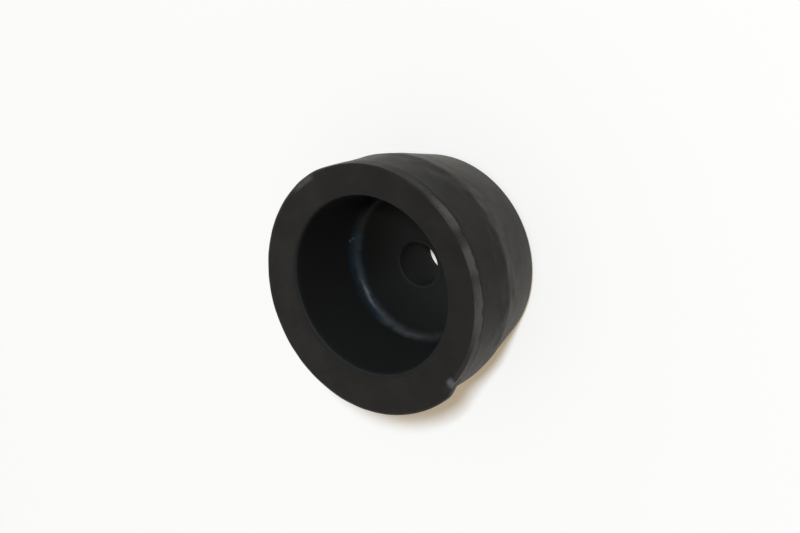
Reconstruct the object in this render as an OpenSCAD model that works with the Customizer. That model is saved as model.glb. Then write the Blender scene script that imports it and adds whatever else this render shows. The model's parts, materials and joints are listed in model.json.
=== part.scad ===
/* [Body] */
// Height from the closed end to the mouth face
height = 21.5; // [18:0.5:30]
// Diameter of the barrel just below the lip
barrel_d = 38.7; // [37:0.1:44]
// Diameter of the barrel at the shoulder, where the heel's taper starts
shoulder_d = 37.8; // [34:0.1:38.5]
// Distance from the mouth face down to the shoulder
shoulder_drop = 9.6; // [5:0.1:12]
// Radius that softens the shoulder
shoulder_r = 3; // [0.5:0.5:10]
// Diameter that the heel's taper reaches at the closed end, before its edge is rounded
heel_d = 31.5; // [29:0.1:33]
// Radius of the rounded edge round the closed end
heel_r = 2.4; // [0.5:0.1:3]

/* [Lip] */
// How far the lip stands out from the barrel
lip_proud = 0.65; // [0.6:0.05:1.5]
// Height of the lip, down from the mouth face
lip_h = 1.8; // [1.4:0.1:3]
// Radius of the lip's outer edge at the mouth face
lip_edge_r = 0.8; // [0.3:0.05:1]
// Radius of the lip's lower edge
lip_under_r = 0.25; // [0.1:0.05:0.3]
// Radius of the hollow between the lip and the barrel
lip_root_r = 0.25; // [0.1:0.05:0.3]

/* [Socket] */
// Diameter of the socket at the mouth face
socket_d = 28; // [26:0.1:30]
// Diameter at which the socket's tapered wall would meet its floor, without the fillet
socket_floor_d = 25; // [22:0.1:26]
// Depth of the socket
socket_depth = 13.4; // [8:0.1:14]
// Radius of the fillet between the socket's wall and its floor
socket_fillet = 1.6; // [0.4:0.1:2.5]
// Radius of the socket's edge at the mouth face
mouth_edge_r = 0.4; // [0.1:0.05:0.8]

/* [Bolt hole] */
// Diameter of the hole through the floor
hole_d = 7; // [4:0.1:12]
// Radius of the hole's edges at the socket floor and at the closed end
hole_edge_r = 0.3; // [0.1:0.05:0.6]

/* [Hidden] */
$fn = 96;
lip_d = barrel_d + 2 * lip_proud;
lip_z = height - lip_h;
shoulder_z = height - shoulder_drop;
floor_z = height - socket_depth;

// Corners of the half section, each as [radius, height, rounding],
// from the hole's edge at the closed end, up the outside and down the socket
corners = [
  [hole_d / 2, 0, hole_edge_r],
  [heel_d / 2, 0, heel_r],
  [shoulder_d / 2, shoulder_z, shoulder_r],
  [barrel_d / 2, lip_z, lip_root_r],
  [lip_d / 2, lip_z, lip_under_r],
  [lip_d / 2, height, lip_edge_r],
  [socket_d / 2, height, mouth_edge_r],
  [socket_floor_d / 2, floor_z, socket_fillet],
  [hole_d / 2, floor_z, hole_edge_r]
];
last = len(corners) - 1;

// How far each arc swells past its two sides, so that they cross and don't just touch
swell = 0.0005;
// Depth of the cap that each arc is taken from, as a multiple of the arc's own rise
cap_depth = 3;

function unit(v) = v / norm(v);
function point(i) = [corners[i][0], corners[i][1]];
function rounding(i) = corners[i][2];

// Directions from a corner along its two sides, and half the angle between them
function side_back(i) = unit(point(i == 0 ? last : i - 1) - point(i));
function side_on(i) = unit(point(i == last ? 0 : i + 1) - point(i));
function half_angle(i) = acos(side_back(i) * side_on(i)) / 2;

// Distance from a corner to the two points where its arc meets the sides
function run(i) = rounding(i) / tan(half_angle(i));

// Direction from the arc's centre to the corner, and that centre
function outward(i) = -unit(side_back(i) + side_on(i));
function arc_centre(i) = point(i) - outward(i) * rounding(i) / sin(half_angle(i));

// True where the outline, which runs anticlockwise, turns out and not in
function is_edge(i) = cross(-side_back(i), side_on(i)) > 0;

// The cap of an arc's circle that faces its corner, cut off past the arc's two ends
module arc_cap(i) {
  r = rounding(i) + swell;
  rise = r * (1 - sin(half_angle(i)));
  translate(arc_centre(i)) rotate(atan2(outward(i)[1], outward(i)[0])) intersection() {
    circle(r);
    translate([r - cap_depth * (rise + swell), -2 * r]) square(4 * r);
  }
}

// Half of the cup's section: the outline with its corners cut straight,
// then arcs added at the outer edges and hollowed out at the inner corners
module half_section() {
  difference() {
    union() {
      polygon([
        for (i = [0:last], side = [side_back(i), side_on(i)]) point(i) + side * run(i)
      ]);
      for (i = [0:last]) if (is_edge(i)) arc_cap(i);
    }
    for (i = [0:last]) if (!is_edge(i)) arc_cap(i);
  }
}

module cushion() {
  color([0.17, 0.165, 0.155]) rotate_extrude() half_section();
}

cushion();
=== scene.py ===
import bpy
import bmesh
import json
from math import acos, atan2, degrees, hypot, pi, radians, tan
from mathutils import Matrix, Vector


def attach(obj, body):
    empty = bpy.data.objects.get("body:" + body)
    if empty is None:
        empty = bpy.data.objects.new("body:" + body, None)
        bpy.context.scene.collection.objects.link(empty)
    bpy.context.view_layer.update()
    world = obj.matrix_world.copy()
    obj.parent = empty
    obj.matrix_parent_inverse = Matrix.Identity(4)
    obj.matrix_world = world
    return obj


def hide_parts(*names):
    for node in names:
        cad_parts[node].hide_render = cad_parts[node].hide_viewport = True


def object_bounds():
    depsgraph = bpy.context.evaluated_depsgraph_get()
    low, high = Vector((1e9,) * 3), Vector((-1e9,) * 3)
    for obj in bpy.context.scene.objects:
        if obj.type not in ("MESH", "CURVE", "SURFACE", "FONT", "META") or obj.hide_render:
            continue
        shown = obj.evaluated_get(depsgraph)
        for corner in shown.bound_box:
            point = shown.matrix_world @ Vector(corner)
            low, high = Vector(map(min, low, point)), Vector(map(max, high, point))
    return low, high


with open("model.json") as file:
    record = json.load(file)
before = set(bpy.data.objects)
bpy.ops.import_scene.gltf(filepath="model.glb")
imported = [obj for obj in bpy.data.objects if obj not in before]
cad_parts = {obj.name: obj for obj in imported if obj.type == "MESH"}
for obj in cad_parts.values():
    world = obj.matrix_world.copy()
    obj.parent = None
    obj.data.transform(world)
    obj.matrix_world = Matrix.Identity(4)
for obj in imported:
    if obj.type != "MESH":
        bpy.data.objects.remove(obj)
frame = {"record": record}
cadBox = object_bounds()
mm = 0.001
print("frame loaded, box", cadBox)


# shader maths: one socket of a node tree, so that masks are written as plain expressions
class Wire:
    def __init__(self, tree, socket=None):
        self.tree = tree
        self.socket = socket

    # settings first, then values or links by the socket's name or number
    def node(self, kind, settings=None, sockets=None, output=0):
        made = self.tree.nodes.new(kind)
        for name, value in (settings or {}).items():
            setattr(made, name, value)
        for name, value in (sockets or {}).items():
            if isinstance(value, Wire):
                self.tree.links.new(value.socket, made.inputs[name])
            else:
                made.inputs[name].default_value = value
        return Wire(self.tree, made.outputs[output] if made.outputs else None)

    def maths(self, operation, *values):
        return self.node("ShaderNodeMath", {"operation": operation}, dict(enumerate(values)))

    def __add__(self, other):
        return self.maths("ADD", self, other)

    def __radd__(self, other):
        return self.maths("ADD", other, self)

    def __sub__(self, other):
        return self.maths("SUBTRACT", self, other)

    def __rsub__(self, other):
        return self.maths("SUBTRACT", other, self)

    def __mul__(self, other):
        return self.maths("MULTIPLY", self, other)

    def __rmul__(self, other):
        return self.maths("MULTIPLY", other, self)

    def __pow__(self, other):
        return self.maths("POWER", self, other)

    def most(self, other):
        return self.maths("MAXIMUM", self, other)

    # 0 below low, 1 above high, eased between
    def ramp(self, low, high):
        limits = {"Value": self, "From Min": low, "From Max": high}
        return self.node("ShaderNodeMapRange", {"interpolation_type": "SMOOTHSTEP"}, limits)

    # 1 inside the band, which reads: from, full and, where it ends again, fading, gone
    def within(self, band):
        mask = self.ramp(band[0], band[1])
        if len(band) > 2:
            mask = mask * (1 - self.ramp(band[2], band[3]))
        return mask

    # this mask blends one colour into another
    def blend(self, colourA, colourB):
        return self.node("ShaderNodeMix", {"data_type": "RGBA"}, {0: self, 6: colourA, 7: colourB}, 2)

    # this vector drives a noise whose patches are about patchMm across
    def noise(self, patchMm, detail, rough):
        values = {"Vector": self, "Scale": 1 / (patchMm * mm), "Detail": detail, "Roughness": rough}
        return self.node("ShaderNodeTexNoise", {}, values)


def startMaterial(name):
    material = bpy.data.materials.new(name)
    material.use_nodes = True
    material.node_tree.nodes.clear()
    return material, Wire(material.node_tree)


# rays that show a surface as it is: from the camera, by reflection or through something clear
def seenRays(start):
    isCamera = start.node("ShaderNodeLightPath", output=0)
    isGlossy = start.node("ShaderNodeLightPath", output=3)
    isClear = start.node("ShaderNodeLightPath", output=6)
    return isCamera.most(isGlossy).most(isClear)


def grey(level, warmth=0.0):
    return (level * (1 + warmth), level, level * (1 - warmth), 1.0)


# camera: the photograph's view, 800 x 533 pixels
photoView = {
    "width": 800,
    "focalPixels": 2483.0,
    "sensorMm": 36.0,
    "elevation": 51.0,         # degrees above the mouth face
    "roll": -114.44,           # the cup lies on its side in the photograph
    "depthMm": 373.71,         # from the lens to the middle of the mouth
    "aimRightMm": 4.559,       # the frame's middle, seen from the middle of the mouth
    "aimUpMm": 3.154,
}

mouthHeight = cadBox[1][2]
lensData = bpy.data.cameras.new("photoCamera")
lensData.sensor_width = photoView["sensorMm"]
lensData.lens = photoView["focalPixels"] * photoView["sensorMm"] / photoView["width"]
camera = bpy.data.objects.new("photoCamera", lensData)
bpy.context.scene.collection.objects.link(camera)
turn = Matrix.Rotation(radians(90 - photoView["elevation"]), 3, "X")
turn = turn @ Matrix.Rotation(radians(photoView["roll"]), 3, "Z")
offset = Vector((photoView["aimRightMm"], photoView["aimUpMm"], photoView["depthMm"])) * mm
camera.location = Vector((0, 0, mouthHeight)) + turn @ offset
camera.rotation_euler = turn.to_euler()
bpy.context.scene.camera = camera
bpy.context.scene.view_settings.view_transform = "Standard"
print("camera at", [round(value, 4) for value in camera.location])


# cup: moulded rubber, sizes in millimetres, arcs in degrees round the axis;
# an arc or band reads: from, full and, where it ends again, fading, gone
cup = {
    "sides": 320,              # flats round the axis
    "heelRadius": 15.75,
    "heelRounding": 2.4,
    "heelSteps": 14,           # steps of each rounding
    "shoulderRadius": 18.9,
    "shoulderHeight": 12.2,
    "shoulderRounding": 5.0,
    "shoulderSteps": 6,
    "barrelRadius": 19.35,
    "lipHeight": 1.8,
    "lipRounding": 0.8,
    "lipSteps": 8,
    "lipNook": 0.25,           # under the lip, in and out
    "nookSteps": 4,
    "mouthRadius": 14.0,
    "mouthRounding": 0.4,
    "mouthSteps": 5,
    "floorRadius": 12.5,
    "floorRounding": 1.6,
    "floorSteps": 14,
    "holeRounding": 0.3,
    "holeSteps": 4,
    "holeDraft": 0.36,         # the hole narrows towards the closed end
    "holeDrift": (0.13, 0.32),         # how far each part's middle is off the axis
    "outsideDrift": (-0.20, -0.06),
    "lipDrift": (-0.43, -0.03),
    "socketDrift": (0.20, -0.20),
    "rowGap": 0.8,             # rows of faces on the straight walls
    "ringGap": 0.01,           # how near a ring its points lie
    "rungGap": 0.9,            # how near a wall's middle and length its rungs lie
    "rungLevel": 0.3,
    "trimArc": (-169, -158, -12, 8),   # where the lip was cut back flush
    "trimRadius": 19.37,
    "trimRadii": (18.5, 19.0),
    "trimHeights": (18.6, 19.35),
    "mergeGap": 0.015,         # closes the step that the cut leaves under the lip
    "seamHeights": (17.9, 18.7, 20.1, 20.5),
    "seamShare": 0.5,          # evens out that seam, in passes
    "seamPasses": 30,
    "nubArc": (-162.8, -160.2, -159.2, -156.6),    # burr at the end of the cut
    "nub": 0.12,
    "nubRadii": (19.0, 19.4),
    "nubHeights": (19.7, 20.0, 20.8, 21.2),
    "wrinkleArc": (70, 95, 170, 185),  # the socket's corner is badly moulded here
    "wrinkle": 0.20,
    "wrinklePatch": 2.2,
    "wrinkleRadii": (9.6, 10.8, 13.2, 13.8),
    "wrinkleHeights": (7.0, 7.8, 9.7, 10.7),
    "outsideRadii": (14.4, 16.0),
    "sway": 0.22,              # how far the outside is out of true
    "swayPatch": 14.0,
    "swayHeights": (1.5, 4.0, 18.2, 19.7),
    "ripple": 0.26,            # how uneven the shoulder is
    "ripplePatch": 3.4,
    "rippleHeights": (6.0, 11.0, 13.5, 17.0),
    "ragged": 0.12,            # how ragged the lip is
    "raggedPatch": 3.0,
    "raggedRadii": (18.9, 19.4),
    "raggedHeights": (19.3, 20.0),
    "plainDetail": 1,          # detail of the unevenness
    "fineDetail": 2,
}

mountAt = {mount["name"]: mount for mount in frame["record"]["mounts"]}
holeRadius = mountAt["bolt_hole"]["dims"]["r_mm"]
footRadius = holeRadius - cup["holeDraft"]
floorHeight = mountAt["socket_floor"]["pos_m"][2] / mm
topHeight = mouthHeight / mm
lipRadius = (cadBox[1][0] - cadBox[0][0]) / 2 / mm
lipFoot = topHeight - cup["lipHeight"]

# corners of the half section, from the hole's foot up the outside and down the socket:
# radius, height, rounding, steps of the rounding, where the ring's middle is
corners = [
    (footRadius, 0.0, cup["holeRounding"], cup["holeSteps"], cup["holeDrift"]),
    (cup["heelRadius"], 0.0, cup["heelRounding"], cup["heelSteps"], cup["outsideDrift"]),
    (cup["shoulderRadius"], cup["shoulderHeight"], cup["shoulderRounding"], cup["shoulderSteps"],
     cup["outsideDrift"]),
    (cup["barrelRadius"], lipFoot, cup["lipNook"], cup["nookSteps"], cup["outsideDrift"]),
    (lipRadius, lipFoot, cup["lipNook"], cup["nookSteps"], cup["lipDrift"]),
    (lipRadius, topHeight, cup["lipRounding"], cup["lipSteps"], cup["lipDrift"]),
    (cup["mouthRadius"], topHeight, cup["mouthRounding"], cup["mouthSteps"], cup["socketDrift"]),
    (cup["floorRadius"], floorHeight, cup["floorRounding"], cup["floorSteps"], cup["socketDrift"]),
    (holeRadius, floorHeight, cup["holeRounding"], cup["holeSteps"], cup["holeDrift"]),
]


def pickEdges(test):
    bpy.ops.mesh.select_mode(type="EDGE")
    bpy.ops.mesh.select_all(action="DESELECT")
    shape = bmesh.from_edit_mesh(bpy.context.edit_object.data)
    for edge in shape.edges:
        if test(edge):
            edge.select_set(True)
    bmesh.update_edit_mesh(bpy.context.edit_object.data)


def onRing(point, corner):
    away = hypot(point.x / mm - corner[4][0], point.y / mm - corner[4][1]) - corner[0]
    return abs(away) < cup["ringGap"] and abs(point.z / mm - corner[1]) < cup["ringGap"]


def isRing(edge, corner):
    return onRing(edge.verts[0].co, corner) and onRing(edge.verts[1].co, corner)


# pull the open ring on to the next corner, then let it out or draw it in
def pullRing(start, end):
    step = Vector((end[4][0] - start[4][0], end[4][1] - start[4][1], end[1] - start[1])) * mm
    bpy.ops.mesh.extrude_region_move(TRANSFORM_OT_translate={"value": step})
    size = end[0] / start[0]
    middle = Vector((end[4][0], end[4][1], end[1])) * mm
    bpy.ops.transform.resize(value=(size, size, 1), center_override=middle)


# how far a rounding reaches along its two sides
def roundingRun(before, corner, after):
    back = Vector((before[0] - corner[0], before[1] - corner[1])).normalized()
    ahead = Vector((after[0] - corner[0], after[1] - corner[1])).normalized()
    return corner[2] / tan(acos(back.dot(ahead)) / 2)


# rows of faces along one straight wall between two corners
def rowWall(start, end, trimStart, trimEnd):
    wall = Vector((end[0] - start[0], end[1] - start[1]))
    along = wall.normalized()
    first = Vector(start[:2]) + along * trimStart
    last = Vector(end[:2]) - along * trimEnd
    middle = (first + last) / 2
    length = (last - first).length

    def isRung(edge):
        centre = (edge.verts[0].co + edge.verts[1].co) / 2 / mm
        nearBy = abs(hypot(centre.x, centre.y) - middle.x) < cup["rungGap"]
        level = abs(centre.z - middle.y) < cup["rungLevel"]
        return nearBy and level and abs(edge.calc_length() / mm - length) < cup["rungGap"]

    cuts = round(length / cup["rowGap"]) - 1
    if cuts > 0:
        pickEdges(isRung)
        bpy.ops.mesh.subdivide(number_cuts=cuts)


def buildCup():
    bpy.ops.object.select_all(action="DESELECT")
    bpy.ops.mesh.primitive_circle_add(vertices=cup["sides"], radius=footRadius * mm, location=(0, 0, 0))
    piece = bpy.context.object
    piece.name = "rubberCup"
    bpy.ops.object.mode_set(mode="EDIT")
    bpy.ops.mesh.select_mode(type="EDGE")
    bpy.ops.mesh.select_all(action="SELECT")
    bpy.ops.transform.translate(value=Vector((*cup["holeDrift"], 0)) * mm)
    for start, end in zip(corners, corners[1:]):
        pullRing(start, end)
    pickEdges(lambda edge: isRing(edge, corners[0]) or isRing(edge, corners[-1]))
    bpy.ops.mesh.bridge_edge_loops()   # the wall of the hole
    bpy.ops.mesh.select_all(action="SELECT")
    bpy.ops.mesh.normals_make_consistent(inside=False)

    runs = []
    for index, corner in enumerate(corners):
        after = corners[(index + 1) % len(corners)]
        runs.append(roundingRun(corners[index - 1], corner, after))
    for corner, run in zip(corners, runs):
        pickEdges(lambda edge: isRing(edge, corner))
        bpy.ops.mesh.bevel(offset=run * mm, segments=corner[3], affect="EDGES")
    for index, corner in enumerate(corners):
        after = (index + 1) % len(corners)
        rowWall(corner, corners[after], runs[index], runs[after])
    bpy.ops.object.mode_set(mode="OBJECT")
    return piece


def ease(value, low, high):
    share = min(max((value - low) / (high - low), 0), 1)
    return share * share * (3 - 2 * share)


def inBand(value, band):
    share = ease(value, band[0], band[1])
    if len(band) > 2:
        share = share * (1 - ease(value, band[2], band[3]))
    return share


# weight of each point by its radius, its height and, where an arc is given, its angle
def weigh(piece, name, radii, heights, arc=None):
    group = piece.vertex_groups.new(name=name)
    for vert in piece.data.vertices:
        weight = inBand(hypot(vert.co.x, vert.co.y) / mm, radii) * inBand(vert.co.z / mm, heights)
        if arc:
            weight = weight * inBand(degrees(atan2(vert.co.y, vert.co.x)), arc)
        if weight > 0:
            group.add([vert.index], weight, "REPLACE")


def addModifier(piece, kind, settings):
    bpy.ops.object.modifier_add(type=kind)
    modifier = piece.modifiers[-1]
    for name, value in settings.items():
        setattr(modifier, name, value)
    bpy.ops.object.modifier_apply(modifier=modifier.name)


# push the weighted points in and out by a soft noise
def roughen(piece, group, patchMm, detail, strengthMm):
    texture = bpy.data.textures.new(group, "CLOUDS")
    texture.noise_scale = patchMm * mm
    texture.noise_depth = detail
    addModifier(piece, "DISPLACE", {
        "texture": texture,
        "texture_coords": "LOCAL",
        "vertex_group": group,
        "strength": strengthMm * mm,
        "mid_level": 0.5,
    })


# draw the weighted points to a cylinder round the given middle
def drawTo(piece, group, radiusMm, middle):
    bpy.ops.object.empty_add(location=Vector((*middle, 0)) * mm)
    centre = bpy.context.object
    bpy.context.view_layer.objects.active = piece
    addModifier(piece, "CAST", {
        "cast_type": "CYLINDER",
        "object": centre,
        "use_z": False,
        "use_radius_as_size": False,
        "factor": 1.0,
        "size": radiusMm * mm,
        "vertex_group": group,
    })
    bpy.data.objects.remove(centre)


piece = buildCup()

# the lip, cut back to the barrel along one side
weigh(piece, "trimmed", cup["trimRadii"], cup["trimHeights"], cup["trimArc"])
drawTo(piece, "trimmed", cup["trimRadius"], cup["outsideDrift"])
bpy.ops.object.mode_set(mode="EDIT")
bpy.ops.mesh.select_all(action="SELECT")
bpy.ops.mesh.remove_doubles(threshold=cup["mergeGap"] * mm)
bpy.ops.mesh.normals_make_consistent(inside=False)
bpy.ops.object.mode_set(mode="OBJECT")
weigh(piece, "seam", cup["trimRadii"], cup["seamHeights"], cup["trimArc"])
addModifier(piece, "SMOOTH", {
    "vertex_group": "seam",
    "factor": cup["seamShare"],
    "iterations": cup["seamPasses"],
})
weigh(piece, "nub", cup["nubRadii"], cup["nubHeights"], cup["nubArc"])
addModifier(piece, "DISPLACE", {"vertex_group": "nub", "strength": cup["nub"] * mm, "mid_level": 0.0})

# unevenness of the moulding
weigh(piece, "wrinkles", cup["wrinkleRadii"], cup["wrinkleHeights"], cup["wrinkleArc"])
roughen(piece, "wrinkles", cup["wrinklePatch"], cup["fineDetail"], cup["wrinkle"])
weigh(piece, "outside", cup["outsideRadii"], cup["swayHeights"])
roughen(piece, "outside", cup["swayPatch"], cup["plainDetail"], cup["sway"])
weigh(piece, "shoulder", cup["outsideRadii"], cup["rippleHeights"])
roughen(piece, "shoulder", cup["ripplePatch"], cup["plainDetail"], cup["ripple"])
weigh(piece, "lip", cup["raggedRadii"], cup["raggedHeights"])
roughen(piece, "lip", cup["raggedPatch"], cup["fineDetail"], cup["ragged"])
bpy.ops.object.vertex_group_remove(all=True)
bpy.ops.object.shade_smooth()
print("cup modelled:", len(piece.data.polygons), "faces")


# rubber: near black, matt, greyed where the lip was cut and handled and, partly, as a painted highlight;
# painted shade across the face and on the socket's floor, a painted sheen on the heel, a painted highlight
# on the rim and a painted reflection in the socket's corner; places in millimetres
# and degrees, a patch reads: size in millimetres, detail, roughness
rubber = {
    "face": grey(0.0086, 0.14),
    "faceWorn": grey(0.0142, 0.14),
    "faceHeights": (21.0, 21.2),
    "mottle": (0.32, 0.68),
    "mottlePatch": (4.5, 4.0, 0.6),
    "farShade": 0.72,          # painted shade: the face is darker on the side away from the light
    "farSide": (-0.333, -0.943),
    "farReach": (-18.0, 18.0),
    "flank": grey(0.0050, 0.12),
    "flankBlotchAndSheen": grey(0.0160, 0.12),
    "flankFade": 0.2,          # how far the flank is blotched and, at least, how far the heel is painted lighter: the blotches are random tone, the heel's lighter tone is a painted sheen
    "heelPaintedSheen": 0.6,
    "heelTop": (11.7, 12.5),
    "heelWander": 3.0,         # how far the heel's edge wanders up and down
    "heelPatch": (2.4, 3.0, 0.6),
    "blotch": (0.35, 0.65),
    "blotchPatch": (6.0, 3.0, 0.6),
    # the cut lip's grey: partly the cut rubber's paler tone, partly a painted highlight along the lip's
    # edge
    "trimmed": grey(0.052, 0.12),
    "trimLeast": 0.3,          # how grey the cut lip is between the brighter arcs, which are partly wear and partly painted highlight
    "trimFades": (-60, -40),
    "trimFadeShare": 0.8,
    "lipRadii": (18.7, 19.1),
    "lipHeights": (20.15, 20.55),
    "lipWander": 1.6,
    "lipPatch": (2.0, 2.0, 0.5),
    "wornAndHighlitArcs": ((-85, -81, -74, -58), (-108, -99, -94, -88), (-142, -124, -114, -104)),
    "scuff": (0.20, 0.60),
    "scuffLeast": 0.4,
    "scuffPatch": (3.0, 3.0, 0.55),
    # pale grey of the burr, also used for the painted highlight on the rim
    "burrAndRimHighlight": grey(0.085, 0.03),
    "burrRadii": (18.2, 18.9),
    "burrHeights": (20.7, 21.2),
    "streakArc": (2, 7, 14, 19),       # painted highlight on the rim's rounded edge
    "streakRadii": (18.3, 18.7, 19.05, 19.4),
    "streakHeights": (20.6, 21.0),
    "streakShare": 0.6,
    "roughness": 0.58,
    "roughnessSpread": 0.06,
    "specularLevel": 0.12,
    "specularTint": (1.0, 0.95, 0.88, 1.0),
    "sheen": 0.075,            # dry bloom, seen at a low angle
    "sheenRoughness": 0.4,
    "sheenTint": (1.0, 0.87, 0.72, 1.0),
    "socket": grey(0.0096, 0.06),
    "socketRim": (14.2, 14.7),         # from here out the outside's finish takes over
    "socketFoot": (0.2, 0.6),
    # painted shade: the socket's floor is darker towards +x, under the mouth's edge
    "floorPaintedShade": grey(0.0050, 0.15),
    "floorReach": (-3.0, 9.0),
    "floorTop": (8.3, 9.0),
    "hole": grey(0.0150),
    "holeRim": (3.7, 3.9),
    "corner": (0.0105, 0.0170, 0.0225, 1.0),   # painted reflection: a bluish tone in the socket's corner for the window's reflection on the fillet
    "cornerReflectionGrey": grey(0.041, 0.03),
    "cornerArc": (25, 60, 124, 182),
    "cornerRadii": (10.4, 11.6),
    "cornerFoot": (7.6, 7.8),
    "cornerTop": (9.2, 10.2),
    "slimArc": (105, 140),             # the painted reflection is grey and slim from here on
    "slimRadius": 0.7,
    "slimHeight": 0.8,
    "cornerReflection": (0.25, 0.6),
    "cornerReflectionPatch": (2.2, 3.0, 0.6),
    "speck": grey(0.055, 0.1),
    "specks": ((7.9, 9.85, 9.4), (8.1, 9.6, 8.8)),     # dust on the socket's wall
    "speckSize": 0.36,
    "speckCore": 0.3,
    "socketRoughness": 0.36,
    "edgeRoughness": 0.60,             # the mouth's and the hole's edges are duller
    "mouthEdge": (20.3, 21.1),
    "holeEdge": (4.0, 4.5),
    "socketSpecular": 0.10,
    "socketTint": (0.88, 0.95, 1.0, 1.0),
    "grainPatch": (0.22, 2.0, 0.6),
    "coarsePatch": (0.9, 3.0, 0.6),
    "coarseShare": 1.5,
    "grainStrength": 0.25,
    "grainMm": 0.08,
}


def rubberFinish():
    material, start = startMaterial("cushionRubber")
    place = start.node("ShaderNodeTexCoord", output=3)
    x, y, z = [start.node("ShaderNodeSeparateXYZ", {}, {0: place}, axis) * (1 / mm) for axis in range(3)]
    radius = (x * x + y * y) ** 0.5
    angle = y.maths("ARCTAN2", y, x) * (180 / pi)

    # outside: the face, with painted shade away from the light, the flank and the heel, painted lighter for
    # its sheen
    mottle = place.noise(*rubber["mottlePatch"]).within(rubber["mottle"])
    face = mottle.blend(rubber["face"], rubber["faceWorn"])
    blotch = place.noise(*rubber["blotchPatch"]).within(rubber["blotch"])
    wander = rubber["heelWander"] * (place.noise(*rubber["heelPatch"]) - 0.5)
    heel = 1 - (z + wander).within(rubber["heelTop"])
    # the heel is painted lighter for its sheen; the blotches are the rubber's own random tone
    blotchAndSheen = heel * (rubber["heelPaintedSheen"] + (1 - rubber["heelPaintedSheen"]) * blotch)
    blotchAndSheen = blotchAndSheen + rubber["flankFade"] * (1 - heel) * blotch
    side = blotchAndSheen.blend(rubber["flank"], rubber["flankBlotchAndSheen"])
    onFace = z.within(rubber["faceHeights"])
    colour = onFace.blend(side, face)
    # painted shade across the face, darker on the side away from the light
    paintedFaceShade = (rubber["farSide"][0] * x + rubber["farSide"][1] * y).within(rubber["farReach"]) * onFace
    colour = start.node("ShaderNodeMix", {"data_type": "RGBA", "blend_type": "MULTIPLY"},
                        {0: paintedFaceShade, 6: colour, 7: grey(rubber["farShade"])}, 2)

    # outside: the cut lip's grey, partly a painted highlight, its burr and a painted highlight on the rim
    scuff = place.noise(*rubber["scuffPatch"]).within(rubber["scuff"])
    scuffed = rubber["scuffLeast"] + (1 - rubber["scuffLeast"]) * scuff
    wornAndHighlit = angle.within(rubber["wornAndHighlitArcs"][0])
    for arc in rubber["wornAndHighlitArcs"][1:]:
        wornAndHighlit = wornAndHighlit.most(angle.within(arc))
    wander = rubber["lipWander"] * (place.noise(*rubber["lipPatch"]) - 0.5)
    onLip = radius.within(rubber["lipRadii"]) * (z + wander).within(rubber["lipHeights"])
    # the cut lip's grey is partly a painted highlight, brighter on some arcs
    cutLipGreyAndHighlight = onLip * angle.within(cup["trimArc"]) * scuffed
    cutLipGreyAndHighlight = cutLipGreyAndHighlight * (rubber["trimLeast"] + (1 - rubber["trimLeast"]) * wornAndHighlit)
    cutLipGreyAndHighlight = cutLipGreyAndHighlight * (1 - rubber["trimFadeShare"] * angle.within(rubber["trimFades"]))
    colour = cutLipGreyAndHighlight.blend(colour, rubber["trimmed"])
    onEdge = radius.within(rubber["burrRadii"]) * z.within(rubber["burrHeights"])
    colour = (onEdge * angle.within(cup["nubArc"])).blend(colour, rubber["burrAndRimHighlight"])
    # painted highlight along the rim's rounded edge
    paintedRimHighlight = radius.within(rubber["streakRadii"]) * z.within(rubber["streakHeights"])
    paintedRimHighlight = paintedRimHighlight * angle.within(rubber["streakArc"])
    colour = (rubber["streakShare"] * paintedRimHighlight * scuffed).blend(colour, rubber["burrAndRimHighlight"])
    rough = rubber["roughness"] + rubber["roughnessSpread"] * (mottle - 0.5)

    # socket: its floor with painted shade, its hole, a painted reflection in its corner and two specks
    # painted shade on the socket's floor
    shaded = x.within(rubber["floorReach"]) * (1 - z.within(rubber["floorTop"]))
    inner = shaded.blend(rubber["socket"], rubber["floorPaintedShade"])
    inner = radius.within(rubber["holeRim"]).blend(rubber["hole"], inner)
    slim = angle.within(rubber["slimArc"])
    corner = (radius - rubber["slimRadius"] * slim).within(rubber["cornerRadii"])
    corner = corner * (1 - (z + rubber["slimHeight"] * slim).within(rubber["cornerTop"]))
    corner = corner * z.within(rubber["cornerFoot"]) * angle.within(rubber["cornerArc"])
    # painted reflection of the window in the socket's corner, broken into patches
    cornerReflection = corner * place.noise(*rubber["cornerReflectionPatch"]).within(rubber["cornerReflection"])
    inner = cornerReflection.blend(inner, slim.blend(rubber["corner"], rubber["cornerReflectionGrey"]))
    core = rubber["speckCore"] * rubber["speckSize"]
    for spot in rubber["specks"]:
        away = ((x - spot[0]) ** 2 + (y - spot[1]) ** 2 + (z - spot[2]) ** 2) ** 0.5
        inner = (1 - away.ramp(core, rubber["speckSize"])).blend(inner, rubber["speck"])
    atEdge = z.within(rubber["mouthEdge"]).most(1 - radius.within(rubber["holeEdge"]))
    dull = rubber["socketRoughness"] + (rubber["edgeRoughness"] - rubber["socketRoughness"]) * atEdge

    grain = place.noise(*rubber["grainPatch"]) + rubber["coarseShare"] * place.noise(*rubber["coarsePatch"])
    bumps = start.node("ShaderNodeBump", {}, {
        "Strength": rubber["grainStrength"],
        "Distance": rubber["grainMm"] * mm,
        "Height": grain,
    })
    outside = start.node("ShaderNodeBsdfPrincipled", {}, {
        "Base Color": colour,
        "Roughness": rough,
        "Normal": bumps,
        "Specular IOR Level": rubber["specularLevel"],
        "Specular Tint": rubber["specularTint"],
        "Sheen Weight": rubber["sheen"],
        "Sheen Roughness": rubber["sheenRoughness"],
        "Sheen Tint": rubber["sheenTint"],
    })
    socket = start.node("ShaderNodeBsdfPrincipled", {}, {
        "Base Color": inner,
        "Roughness": dull,
        "Normal": bumps,
        "Specular IOR Level": rubber["socketSpecular"],
        "Specular Tint": rubber["socketTint"],
    })
    inSocket = (1 - radius.within(rubber["socketRim"])) * z.within(rubber["socketFoot"])
    shader = start.node("ShaderNodeMixShader", {}, {0: inSocket, 1: outside, 2: socket})
    start.node("ShaderNodeOutputMaterial", {}, {"Surface": shader})
    return material


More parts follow.
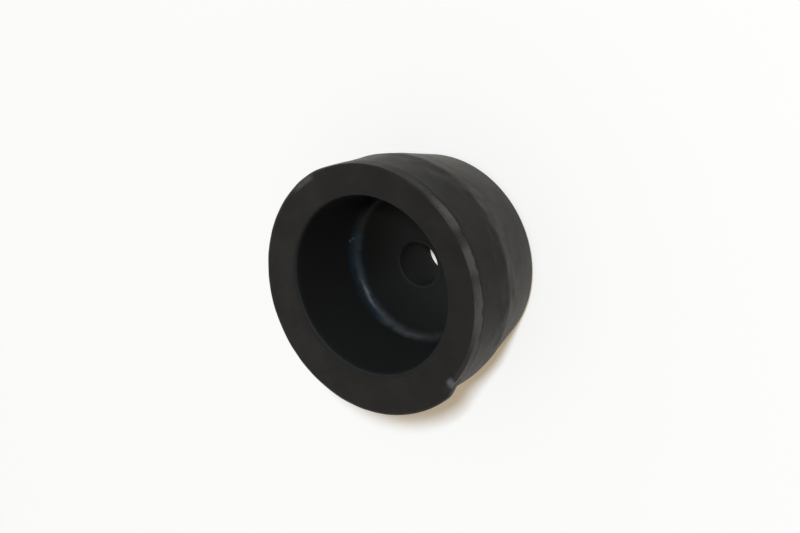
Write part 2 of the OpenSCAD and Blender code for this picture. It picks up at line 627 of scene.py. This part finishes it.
piece.data.materials.append(rubberFinish())
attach(piece, "root")
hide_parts("cushion")
print("rubber finished")


# floor: pale, lit by the lamps, with a warm glow of its own that stays in the shadow
floorLook = {
    "size": 3.0,
    "lit": (0.87, 0.90, 0.98, 1.0),
    "glow": (0.30, 0.225, 0.125, 1.0),
}

bpy.ops.object.select_all(action="DESELECT")
bpy.ops.mesh.primitive_plane_add(size=floorLook["size"], location=(0, 0, 0))
floor = bpy.context.object
floor.name = "paleFloor"
floorMaterial, start = startMaterial("paleFloor")
lit = start.node("ShaderNodeBsdfDiffuse", {}, {"Color": floorLook["lit"]})
glow = start.node("ShaderNodeEmission", {}, {"Color": floorLook["glow"], "Strength": seenRays(start)})
both = start.node("ShaderNodeAddShader", {}, {0: lit, 1: glow})
start.node("ShaderNodeOutputMaterial", {}, {"Surface": both})
floor.data.materials.append(floorMaterial)
print("floor laid")


# light: a soft lamp above, a cooler window at one side and an even room
lamps = {
    "softAbove": {
        "toward": (0.178, -0.735, 1.0),
        "away": 5.0,
        "size": (0.55, 0.55),
        "power": 212.0,
        "colour": (0.85, 0.95, 1),
    },
    "window": {
        "toward": (0.80, -0.15, 0.55),
        "away": 0.9,
        "size": (0.80, 0.30),
        "power": 3.6,
        "colour": (0.70, 0.87, 1),
    },
}
room = {
    "level": 0.20,
    "colour": (1.0, 0.95, 0.88, 1.0),
    "seen": (1.0, 1.0, 1.0, 1.0),      # white behind the floor's edge and in reflections
}

rubberOnly = bpy.data.collections.new("rubberOnly")   # the window leaves the floor to the lamp above
rubberOnly.objects.link(piece)
for name, lamp in lamps.items():
    lampData = bpy.data.lights.new(name, "AREA")
    lampData.shape = "RECTANGLE"
    lampData.size = lamp["size"][0]
    lampData.size_y = lamp["size"][1]
    lampData.energy = lamp["power"]
    lampData.color = lamp["colour"]
    lampObject = bpy.data.objects.new(name, lampData)
    bpy.context.scene.collection.objects.link(lampObject)
    toward = Vector(lamp["toward"]).normalized()
    lampObject.location = toward * lamp["away"]
    lampObject.rotation_euler = toward.to_track_quat("Z", "Y").to_euler()
    if name == "window":
        lampObject.light_linking.receiver_collection = rubberOnly

world = bpy.data.worlds.new("paleRoom")
bpy.context.scene.world = world
world.use_nodes = True
world.node_tree.nodes.clear()
start = Wire(world.node_tree)
seen = seenRays(start)
air = start.node("ShaderNodeBackground", {}, {
    "Color": seen.blend(room["colour"], room["seen"]),
    "Strength": room["level"] + (1 - room["level"]) * seen,
})
start.node("ShaderNodeOutputWorld", {}, {"Surface": air})
print("lamps and room set")
